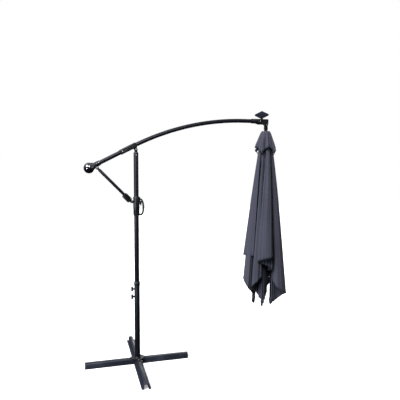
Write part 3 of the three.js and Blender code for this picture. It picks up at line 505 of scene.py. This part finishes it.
def joined(parts):
    """One list of vertices and faces from several."""
    vertices, faces = [], []
    for some_vertices, some_faces in parts:
        first = len(vertices)
        vertices += some_vertices
        faces += [tuple(first + i for i in face) for face in some_faces]
    return vertices, faces


# ---------------------------------------------------------------- closed canopy

THROAT = 0.0475  # the cloth's radius over the rib roots
CLAMPED = 0.036  # and its radius where the hub's cap clamps it
CLAMP_RISE = 0.011  # of that circle above the rib ring
HEM_TAPE_WIDTH = 0.016
HEM_TAPE_STAND = 0.0009  # of the tape off the cloth
HEM_TAPE_DROP = 0.0012  # of its fold below the hem
PLEAT_DEPTH = 0.0082
PLEAT_PITCH = 0.033
PLEATS_FADE = (0.12, 0.17)  # from the canopy's axis, where the pleats flatten
OUTER_PLEATS = 0.12  # share of their depth that is left beyond it
FLARE = 0.85  # how early the folds spread: 1 would be straight from throat to hem
LEVELS = 56  # rows of the cloth below its clamped edge
COLUMN_SPACING = 0.006  # of its columns along the course
CORNER_SOFTNESS = 0.0045  # how far the course's corners are rounded
RIPPLE = 0.0045  # size of the uneven folds

# Where the hem hangs, anticlockwise from the short rib at the front right. Each row is
# (x, y, share): x and y in metres in the canopy's own frame, whose axes run through the long
# ribs, and the share of the way from a short rib to a long one. Between ribs the cloth falls
# inwards in pleats, and a spare flap of most gores hangs outside, round its neighbours.
COURSE = [
    # front right short rib to the right long rib: hidden pleats, then the flap on the right
    (0.092, -0.125, 0.00), (0.098, -0.108, 0.03), (0.066, -0.055, 0.12), (0.098, -0.045, 0.24),
    (0.056, -0.028, 0.34), (0.102, 0.000, 0.46), (0.062, 0.006, 0.56), (0.100, 0.000, 0.65),
    (0.116, -0.052, 0.71), (0.146, -0.088, 0.765), (0.194, -0.060, 0.81), (0.240, 0.000, 0.855),
    (0.202, 0.068, 0.91), (0.150, 0.050, 0.96), (0.092, -0.010, 1.00),
    # right long rib to the back right short rib
    (0.070, 0.014, 0.96), (0.150, 0.050, 0.88), (0.096, 0.060, 0.80), (0.158, 0.078, 0.72),
    (0.095, 0.080, 0.62), (0.150, 0.100, 0.50), (0.085, 0.085, 0.38), (0.142, 0.115, 0.25),
    (0.080, 0.085, 0.12), (0.112, 0.112, 0.00),
    # back right short rib to the back long rib
    (0.055, 0.078, 0.12), (0.112, 0.132, 0.25), (0.045, 0.082, 0.38), (0.095, 0.140, 0.50),
    (0.040, 0.090, 0.60), (0.085, 0.135, 0.70), (0.078, 0.120, 0.76), (0.044, 0.106, 0.84),
    (0.050, 0.118, 0.92), (0.014, 0.104, 1.00),
    # back long rib to the back left short rib
    (-0.024, 0.092, 0.95), (0.030, 0.130, 0.88), (-0.045, 0.098, 0.80), (0.010, 0.145, 0.70),
    (-0.055, 0.100, 0.60), (-0.020, 0.148, 0.48), (-0.080, 0.090, 0.35), (-0.050, 0.135, 0.20),
    (-0.078, 0.082, 0.10), (-0.112, 0.112, 0.00),
    # back left short rib to the left long rib
    (-0.072, 0.070, 0.12), (-0.150, 0.095, 0.28), (-0.075, 0.055, 0.42), (-0.160, 0.072, 0.56),
    (-0.080, 0.040, 0.68), (-0.138, 0.052, 0.78), (-0.076, 0.030, 0.88), (-0.078, 0.022, 0.94),
    (-0.098, -0.014, 1.00),
    # left long rib to the front left short rib: the flap on the left, then a narrow fold
    (-0.070, -0.026, 0.94), (-0.088, -0.040, 0.88), (-0.104, -0.092, 0.83),
    (-0.140, -0.132, 0.775), (-0.178, -0.112, 0.71), (-0.200, -0.050, 0.665),
    (-0.150, -0.006, 0.55), (-0.080, -0.022, 0.42), (-0.140, -0.040, 0.30),
    (-0.076, -0.040, 0.18), (-0.144, -0.036, 0.09), (-0.203, -0.048, 0.05),
    (-0.146, -0.088, 0.02), (-0.102, -0.110, 0.00),
    # front left short rib to the front long rib: pleats, then a narrow flap
    (-0.056, -0.056, 0.10), (-0.092, -0.050, 0.20), (-0.042, -0.044, 0.32),
    (-0.072, -0.042, 0.42), (-0.026, -0.060, 0.52), (-0.012, -0.128, 0.60),
    (-0.044, -0.158, 0.66), (-0.102, -0.160, 0.745), (-0.076, -0.076, 0.82),
    (-0.040, -0.060, 0.88), (-0.010, -0.084, 0.94), (0.004, -0.101, 1.00),
    # front long rib to the front right short rib: pleats, then the broad front panel
    (0.026, -0.052, 0.94), (0.046, 0.010, 0.86), (0.006, 0.026, 0.77), (0.050, 0.006, 0.67),
    (0.010, 0.012, 0.57), (0.088, -0.084, 0.47), (0.040, -0.122, 0.38), (-0.012, -0.150, 0.31),
    (-0.056, -0.166, 0.27), (-0.002, -0.178, 0.17), (0.052, -0.166, 0.09), (0.084, -0.142, 0.03),
]


def hem_drop(half_side, share):
    """Length of a square cloth from its middle to its hem, between a short rib and a long one."""
    return half_side * np.hypot(1.0, share)


def smoothed_loop(points, spacing, softness):
    """A closed polyline of (x, y, ...) rows, evenly spaced, its corners rounded."""
    closed = np.vstack([points, points[:1]])
    steps = np.hypot(*np.diff(closed[:, :2], axis=0).T)
    length = np.concatenate([[0], np.cumsum(steps)])
    count = int(length[-1] / spacing)
    at = np.linspace(0, length[-1], count, endpoint=False)
    even = np.column_stack([np.interp(at, length, column) for column in closed.T])
    reach = np.arange(count)
    reach = np.minimum(reach, count - reach) * spacing
    kernel = np.exp(-0.5 * (reach / softness) ** 2)
    kernel /= kernel.sum()
    spectrum = np.fft.rfft(kernel)[:, None]
    return np.fft.irfft(np.fft.rfft(even, axis=0) * spectrum, n=count, axis=0)


def canopy_course():
    """Columns of the cloth: where each hangs in plan, and its direction in the square cut."""
    rows = np.array(COURSE)
    plan, share = rows[:, :2], rows[:, 2]
    ribs = np.flatnonzero((share == 0.0) | (share == 1.0))
    cut = np.zeros(len(rows))
    for k, start in enumerate(ribs):
        end = ribs[k + 1] if k + 1 < len(ribs) else len(rows)
        angle = np.arctan(share[start:end])
        cut[start:end] = k * GORE + np.abs(angle - angle[0])
    # the cut's direction turns once round, so its climb is smoothed apart from its steady part
    turn = 2 * np.pi
    steps = np.hypot(*np.diff(np.vstack([plan, plan[:1]]), axis=0).T)
    travelled = np.concatenate([[0], np.cumsum(steps)])
    steady = turn * travelled[:-1] / travelled[-1]
    loop = smoothed_loop(np.column_stack([plan, cut - steady]), COLUMN_SPACING, CORNER_SOFTNESS)
    cut = loop[:, 2] + turn * np.arange(len(loop)) / len(loop)
    return pleated(loop[:, :2], COLUMN_SPACING), cut


def pleated(plan, spacing):
    """Small regular pleats across a closed course, faint outside and deep between the folds."""
    along = np.roll(plan, -1, axis=0) - np.roll(plan, 1, axis=0)
    along /= np.linalg.norm(along, axis=1)[:, None]
    across = np.column_stack([along[:, 1], -along[:, 0]])
    count = round(len(plan) * spacing / PLEAT_PITCH)
    phase = 2 * np.pi * count * np.arange(len(plan)) / len(plan)
    reach = np.linalg.norm(plan, axis=1)
    depth = PLEAT_DEPTH * np.interp(reach, PLEATS_FADE, (1.0, OUTER_PLEATS))
    wander = 1.3 * np.sin(phase * 7 / count) + np.sin(phase * 19 / count + 1)
    return plan + across * (depth * np.sin(phase + wander))[:, None]


def share_of(cut):
    """Share of the way from a short rib to a long one, at a direction in the square cut."""
    within = np.mod(cut, 2 * GORE)
    return np.tan(np.minimum(within, 2 * GORE - within))


def ripple(cut, drop, seed, scale):
    """Soft uneven hanging folds, in metres, from a few seeded waves along the cut."""
    random = np.random.default_rng(seed)
    total = np.zeros(np.broadcast(cut, drop).shape)
    for _ in range(9):
        around, phase = random.integers(9, 64), random.uniform(0, 2 * np.pi, 2)
        down = random.uniform(0.5, 4.0)
        total += np.sin(around * cut + phase[0] + 0.8 * np.sin(down * drop + phase[1]))
    return scale * total / 3


def grid_piece(name, points, uv, slot, material=None):
    """A closed band of cloth from an array of levels of columns, with its cut as its UV map."""
    levels, columns, _ = points.shape
    faces = []
    for level in range(levels - 1):
        for column in range(columns):
            after = (column + 1) % columns
            above, below = level * columns, (level + 1) * columns
            faces.append((above + column, below + column, below + after, above + after))
    obj = piece(name, points.reshape(-1, 3), faces, slot, None, material)
    layer = obj.data.uv_layers.new(name="cut")
    corners = np.array([i for face in faces for i in face])
    layer.data.foreach_set("uv", uv.reshape(-1, 2)[corners].ravel())
    return obj


def canopy_points(x, y, z):
    """Points of the canopy's own frame, whose X axis runs through the right long rib."""
    cosine, sine = math.cos(CANOPY_TURN), math.sin(CANOPY_TURN)
    return np.column_stack([CANOPY_X + x * cosine - y * sine, x * sine + y * cosine, z])


def hem_binding(name, rows, uvs):
    """Tape folded over a cloth's hem, following its last rows on both faces."""
    above, hem = rows[-2], rows[-1]
    along = np.roll(hem, -1, axis=0) - np.roll(hem, 1, axis=0)
    down = hem - above
    length = np.linalg.norm(down, axis=1)[:, None]
    down /= length
    outward = np.cross(down, along)
    outward /= np.linalg.norm(outward, axis=1)[:, None]
    top = hem - down * HEM_TAPE_WIDTH
    stand = outward * HEM_TAPE_STAND
    ring = [top + stand, hem + stand, hem + down * HEM_TAPE_DROP, hem - stand, top - stand]
    along_cut = uvs[-1]
    cut = [along_cut * (1 + 0.01 * k) for k in range(len(ring))]
    tape = grid_piece(name, np.array(ring), np.array(cut), "canopy_fabric", HEM_TAPE)
    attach(tape, "canopy")
    return tape


def make_canopy():
    """The main cloth, cut as one square, its hem lowest at the four long ribs."""
    plan, cut = canopy_course()
    share = share_of(cut)
    hem = hem_drop(HALF_SIDE, share)
    ring_turn = cut - GORE
    throat = THROAT * np.column_stack([np.cos(ring_turn), np.sin(ring_turn)])
    depth = np.concatenate([[0.0], np.linspace(0.004, 1, LEVELS)])
    outward = plan / np.linalg.norm(plan, axis=1)[:, None]
    rows, uvs = [], []
    for i, part in enumerate(depth):
        drop = hem * part
        where = throat + (plan - throat) * part**FLARE
        swing = ripple(cut, drop, 3, RIPPLE) * np.minimum(drop / 0.5, 1.0)
        where = where + outward * swing[:, None]
        height = RIB_RING - drop
        if i == 0:
            where = throat * (CLAMPED / THROAT)
            height = np.full_like(drop, RIB_RING + CLAMP_RISE)
        rows.append(canopy_points(where[:, 0], where[:, 1], height))
        uvs.append(drop[:, None] * np.column_stack([np.cos(cut), np.sin(cut)]))
    cloth = grid_piece("canopy_sheet", np.array(rows), np.array(uvs), "canopy_fabric")
    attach(cloth, "canopy")
    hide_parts("canopy_cloth")
    hem_binding("canopy_hem", rows, uvs)


def make_vent():
    """The small upper cloth, a square skirt over the canopy's top with a corner at each long rib."""
    columns, levels = VENT_GRID
    cut = np.linspace(0, 2 * np.pi, columns, endpoint=False)
    hem = hem_drop(VENT_HALF_SIDE, share_of(cut))
    turn = cut - GORE - VENT_SLIP
    folds = sum(depth * np.cos(count * cut + phase) for count, depth, phase in VENT_FOLDS)
    rows, uvs = [], []
    for part in np.linspace(0, 1, levels):
        reach = VENT_THROAT + part * (hem - VENT_THROAT)
        drop = np.maximum(reach - VENT_THROAT, 0)
        cleared, spread = np.minimum(drop / VENT_LIP, 1), np.minimum(drop / VENT_SPREAD, 1)
        flare = VENT_FLARE * (0.1 * cleared + 0.9 * spread)
        droop = 0.5 * np.maximum(drop - VENT_SPREAD, 0.0)
        radius = VENT_THROAT + flare - droop + folds * np.minimum(drop / VENT_FOLDED, 1.0)
        rows.append(canopy_points(radius * np.cos(turn), radius * np.sin(turn), VENT_TOP - drop))
        uvs.append(reach[:, None] * np.column_stack([np.cos(cut), np.sin(cut)]))
    cloth = grid_piece("vent_sheet", np.array(rows), np.array(uvs), "canopy_fabric")
    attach(cloth, "canopy")
    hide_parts("vent_cloth")
    hem_binding("vent_hem", rows, uvs)


# ---------------------------------------------------------------- ribs' fittings

SLEEVE_SIDES = 16
ROUNDNESS = 0.45  # of a sleeve's section: 1 is an ellipse, 0 a rectangle
CAP_UP = 0.028  # of a rib's end cap, from the rib's tip
CAP_DOWN = 0.006
# Closed sleeves are rows of (fraction of the length, half width, half depth).
POCKET_SIZES = [
    (0.0, 0.010, 0.0125),
    (0.3, 0.0145, 0.0165),
    (0.6, 0.0125, 0.0145),
    (0.88, 0.0095, 0.0115),
    (1.0, 0.005, 0.006),
]
POCKET_UP = 0.062  # from the rib's tip
POCKET_DOWN = 0.010
STRETCHER_SIZES = [(0.0, 0.004, 0.004), (0.02, 0.0045, 0.0045), (0.98, 0.0045, 0.0045), (1.0, 0.004, 0.004)]
CLIP_SIZES = [(0.0, 0.0062, 0.0088), (0.1, 0.0068, 0.0096), (0.9, 0.0068, 0.0096), (1.0, 0.0062, 0.0088)]
CLIP_HALF = 0.016
CLIP_STAND = 0.006  # of a stretcher's end off its rib
RUNNER_INSET = 0.004  # of a stretcher's foot inside the runner's rim, and its rise above it
LAMP_DOME = [(0.0045, 0.0), (0.0045, 0.001), (0.0036, 0.0026), (0.0016, 0.0036)]  # radius, height
LAMP_SHARES = (0.56, 0.7, 0.84)  # of the rib's length
LAMP_GAP = 0.0002


def rib_line(k):
    """Root, tip and outward direction of a rib's centre line, from the front right short rib."""
    is_long = k % 2 == 1
    tip = LONG_RIB_TIP if is_long else SHORT_RIB_TIP
    drop = hem_drop(HALF_SIDE, 1.0 if is_long else 0.0)
    turn = CANOPY_TURN + (k - 1) * GORE
    outward = Vector((math.cos(turn), math.sin(turn), 0))
    axis = Vector((CANOPY_X, 0, RIB_RING))
    root = axis + outward * RIB_ROOT
    return root, axis + outward * tip + Vector((0, 0, -drop)), outward


def superellipse(half_wide, half_high):
    """A rounded rectangle as (side, up) corners."""
    corners = []
    for j in range(SLEEVE_SIDES):
        angle = 2 * math.pi * (j + 0.5) / SLEEVE_SIDES
        c, s = math.cos(angle), math.sin(angle)
        a = math.copysign(abs(c) ** ROUNDNESS, c) * half_wide
        b = math.copysign(abs(s) ** ROUNDNESS, s) * half_high
        corners.append((a, b))
    return corners


def sleeve(start, end, outward, sizes):
    """A closed sleeve round a line: sizes are (fraction, half width, half depth) rows."""
    along = (end - start).normalized()
    side = along.cross(outward).normalized()
    depth = side.cross(along)
    vertices = []
    for fraction, half_wide, half_deep in sizes:
        middle = start.lerp(end, fraction)
        vertices += [middle + side * a + depth * b for a, b in superellipse(half_wide, half_deep)]
    return vertices, ring_faces(len(sizes), SLEEVE_SIDES)


def make_rib_caps():
    """A moulded cap on each rib's end."""
    caps = []
    wide, deep = RIB_WIDTH / 2, RIB_DEPTH / 2
    sizes = [
        (0.0, wide + 0.0006, deep + 0.0006),
        (0.05, wide + 0.0014, deep + 0.0014),
        (0.8, wide + 0.0016, deep + 0.0016),
        (0.93, wide + 0.0004, deep),
        (1.0, wide * 0.5, deep * 0.5),
    ]
    for k in range(RIBS):
        root, tip, outward = rib_line(k)
        along = (tip - root).normalized()
        caps.append(sleeve(tip - along * CAP_UP, tip + along * CAP_DOWN, outward, sizes))
    piece("rib_caps", *joined(caps), "black_plastic", "canopy")


def make_pockets():
    """The tape pocket that holds the cloth's corner on each long rib's end."""
    pockets = []
    for k in range(1, RIBS, 2):
        root, tip, outward = rib_line(k)
        along = (tip - root).normalized()
        start, end = tip - along * POCKET_UP, tip + along * POCKET_DOWN
        pockets.append(sleeve(start, end, outward, POCKET_SIZES))
    piece("corner_pockets", *joined(pockets), "canopy_fabric", "canopy", HEM_TAPE)


def make_stretchers():
    """The closed stretchers, from the runner up to a clip on each rib."""
    _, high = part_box("canopy_runner")
    parts = []
    for k in range(RIBS):
        root, tip, outward = rib_line(k)
        join = root.lerp(tip, STRETCHER_SHARE[k % 2])
        foot = high.x - CANOPY_X - RUNNER_INSET
        start = Vector((CANOPY_X, 0, high.z + RUNNER_INSET)) + outward * foot
        end = join - outward * (RIB_DEPTH / 2 + CLIP_STAND)
        parts.append(sleeve(start, end, outward, STRETCHER_SIZES))
        along = (tip - root).normalized() * CLIP_HALF
        parts.append(sleeve(join - along, join + along, outward, CLIP_SIZES))
    piece("stretchers", *joined(parts), "frame_paint", "canopy")


def make_lamps():
    """Small lamps along the inner face of each rib."""
    lenses = []
    for k in range(RIBS):
        root, tip, outward = rib_line(k)
        for share in LAMP_SHARES:
            place = root.lerp(tip, share) - outward * (RIB_DEPTH / 2 + LAMP_GAP)
            lenses.append(turned(LAMP_DOME, place, -outward, 10))
    piece("rib_lamps", *joined(lenses), "gloss_plastic", "canopy", LAMP_LENS)


# ---------------------------------------------------------------- fasteners

LOCK_SCREW_X = 0.0285  # from the mast's axis
LOCK_SCREW_FALLS = (0.058, 0.016)  # below the sliding handle's top
GRIP_SCREW_XS = (0.0405, 0.0415)  # of the upper and the lower one
GRIP_TOP = 0.0265  # of a grip screw below the handle's top
GRIP_BOTTOM = 0.0105  # and of the other above its bottom
CASE_SCREW_UPS = (0.025, 0.085)  # along the strut, from its foot's pin
CASE_SCREW_OUTS = (-0.019, 0.015)  # across it
TIP_SOCKET_RISE = 0.012  # of the socket's axis above the casting's middle
TIP_SCREW_INSETS = (0.062, 0.084)  # from the casting's rear end


def screw_head(place, axis, radius=SCREW):
    """A domed machine-screw head with a round recess."""
    profile = [
        (radius, -0.0006),
        (radius, 0.0008),
        (radius * 0.78, 0.0018),
        (radius * 0.45, 0.0021),
        (radius * 0.42, 0.0008),
        (radius * 0.05, 0.0007),
    ]
    return turned(profile, place, axis, 12)


def make_slider_screws():
    """Screws that clamp the sliding handle's two shells, on both sides."""
    low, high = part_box("slider_shell_back")
    heads = []
    top_x, bottom_x = GRIP_SCREW_XS
    grip_screws = ((top_x, high.z - GRIP_TOP), (bottom_x, low.z + GRIP_BOTTOM))
    for sign in (-1, 1):
        for fall in LOCK_SCREW_FALLS:
            place = (LOCK_SCREW_X, sign * LOCK_BOX_HALF, high.z - fall)
            heads.append(screw_head(place, (0, sign, 0)))
        for x, z in grip_screws:
            heads.append(screw_head((x, sign * GRIP_HALF, z), (0, sign, 0), SMALL_SCREW))
    piece("slider_screws", *joined(heads), "steel", "slider")


def make_case_screws():
    """Screws in the four corners of the winder's case, on both sides."""
    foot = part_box("strut_foot_pin")
    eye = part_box("strut_eye_pin")
    start = (foot[0] + foot[1]) / 2
    along = ((eye[0] + eye[1]) / 2 - start).normalized()
    across = Vector((along.z, 0, -along.x))
    heads = []
    for up, out in itertools.product(CASE_SCREW_UPS, CASE_SCREW_OUTS):
        for sign in (-1, 1):
            place = start + along * up + across * out + Vector((0, sign * CASE_HALF, 0))
            heads.append(screw_head(place, (0, sign, 0), CASE_SCREW))
    piece("case_screws", *joined(heads), "steel", "strut")


def make_tip_screws():
    """Two screws that hold the arm in the tip casting, on both sides."""
    low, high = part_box("tip_casting")
    middle = (low.z + high.z) / 2 + TIP_SOCKET_RISE
    heads = []
    for x in (low.x + inset for inset in TIP_SCREW_INSETS):
        for sign in (-1, 1):
            heads.append(screw_head((x, sign * TIP_SOCKET_HALF, middle), (0, sign, 0), SMALL_SCREW))
    piece("tip_screws", *joined(heads), "steel", "arm")


# ---------------------------------------------------------------- the whole object

make_camera()
make_floor()
make_sky()
make_lights()
dress_frame()
make_canopy()
make_vent()
make_rib_caps()
make_pockets()
make_stretchers()
make_lamps()
make_slider_screws()
make_case_screws()
make_tip_screws()
